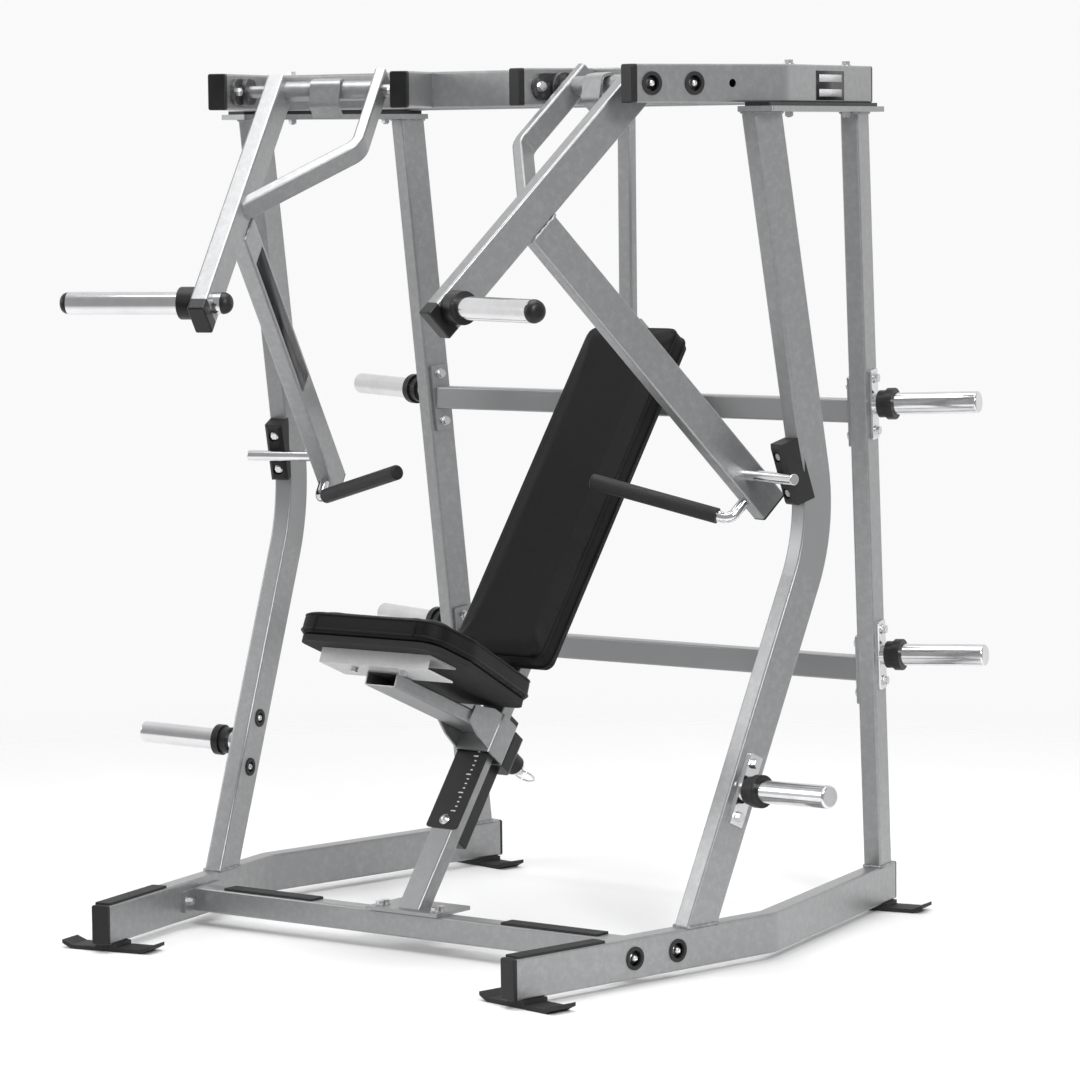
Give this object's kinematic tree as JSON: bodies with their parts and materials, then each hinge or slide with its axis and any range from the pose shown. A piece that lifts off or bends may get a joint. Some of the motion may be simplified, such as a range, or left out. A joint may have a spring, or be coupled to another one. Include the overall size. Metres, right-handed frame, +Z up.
{
  "type": "chest press machine",
  "caption": "Plate-loaded incline chest press: splayed grey tube frame, two independent swinging press arms, sliding tapered seat, reclined back pad and plate storage horns.",
  "frame": {"origin": "bottom centre of the machine's bounding box, on the floor", "axes": "+Z up, +Y from the seat's front towards the back of the frame, +X across the machine, on the side of the arm that is nearer in the picture"},
  "size_m": [1.941, 1.4765, 1.951],
  "materials": {
    "silver_paint": "satin metallic",
    "chrome": "polished",
    "black_plastic": "satin",
    "black_rubber": "matte",
    "grip_rubber": "matte textured",
    "zinc_steel": "zinc plated",
    "dark_iron": "painted black",
    "upholstery": "grained vinyl",
    "board": "black covered",
    "light_grey": "satin",
    "scale_black": "satin with pale marks"
  },
  "bodies": {
    "frame": {"back_board": "board", "back_brackets": "silver_paint", "back_pad": "upholstery", "beam_end_caps": "black_plastic", "beam_shims": "black_plastic", "centre_post": "silver_paint", "feet": "black_rubber", "flange_bearings": "dark_iron", "frame_bolts": "zinc_steel", "front_crossbar": "silver_paint", "hole_grommets": "black_rubber", "inner_beams": "silver_paint", "latch_rack": "black_plastic", "left_front_upright": "silver_paint", "left_outer_beam": "silver_paint", "left_rail": "silver_paint", "left_rear_upright": "silver_paint", "lower_crossbar": "silver_paint", "rail_end_caps": "black_plastic", "rear_crossbeam": "silver_paint", "right_front_upright": "silver_paint", "right_outer_beam": "silver_paint", "right_rail": "silver_paint", "right_rear_upright": "silver_paint", "scale_plate": "scale_black", "spine": "silver_paint", "step_pads": "black_rubber", "stop_blocks": "black_rubber", "storage_collars": "black_plastic", "storage_horns": "chrome", "top_crossbeam": "silver_paint", "top_plates": "silver_paint", "upper_crossbar": "silver_paint"},
    "right_arm": {"right_arm_trim": "black_plastic", "right_brace": "silver_paint", "right_chrome_pins": "chrome", "right_grip": "grip_rubber", "right_handle_arm": "silver_paint", "right_handle_bar": "chrome", "right_main_arm": "silver_paint", "right_pivot_tube": "silver_paint"},
    "left_arm": {"left_arm_trim": "black_plastic", "left_brace": "silver_paint", "left_chrome_pins": "chrome", "left_grip": "grip_rubber", "left_handle_arm": "silver_paint", "left_handle_bar": "chrome", "left_main_arm": "silver_paint", "left_pivot_tube": "silver_paint"},
    "seat": {"seat_board": "board", "seat_bolts": "zinc_steel", "seat_carriage": "silver_paint", "seat_mount": "light_grey", "seat_pad": "upholstery", "slide_liners": "black_plastic", "pin_housing": "black_plastic"},
    "latch_pin": {"pull_pin": "chrome", "pull_ring": "chrome"}
  },
  "joints": [
    {"name": "right_arm_swing", "type": "hinge", "parent": "frame", "child": "right_arm", "pos_m": [0.6242, -0.19543, 1.9], "axis": [-0.9397, 0.342, 0], "range_deg": [0, 45]},
    {"name": "left_arm_swing", "type": "hinge", "parent": "frame", "child": "left_arm", "pos_m": [-0.6242, -0.19543, 1.9], "axis": [-0.9397, -0.342, 0], "range_deg": [0, 45]},
    {"name": "seat_slide", "type": "slide", "parent": "frame", "child": "seat", "axis": [0, 0.6115, 0.7912], "range_m": [-0.14, 0.02]},
    {"name": "latch_pin_pull", "type": "slide", "parent": "seat", "child": "latch_pin", "axis": [0, 0.7912, -0.6115], "range_m": [0, 0.012], "stiffness_N_per_m": 900, "springref_m": -0.01}
  ]
}
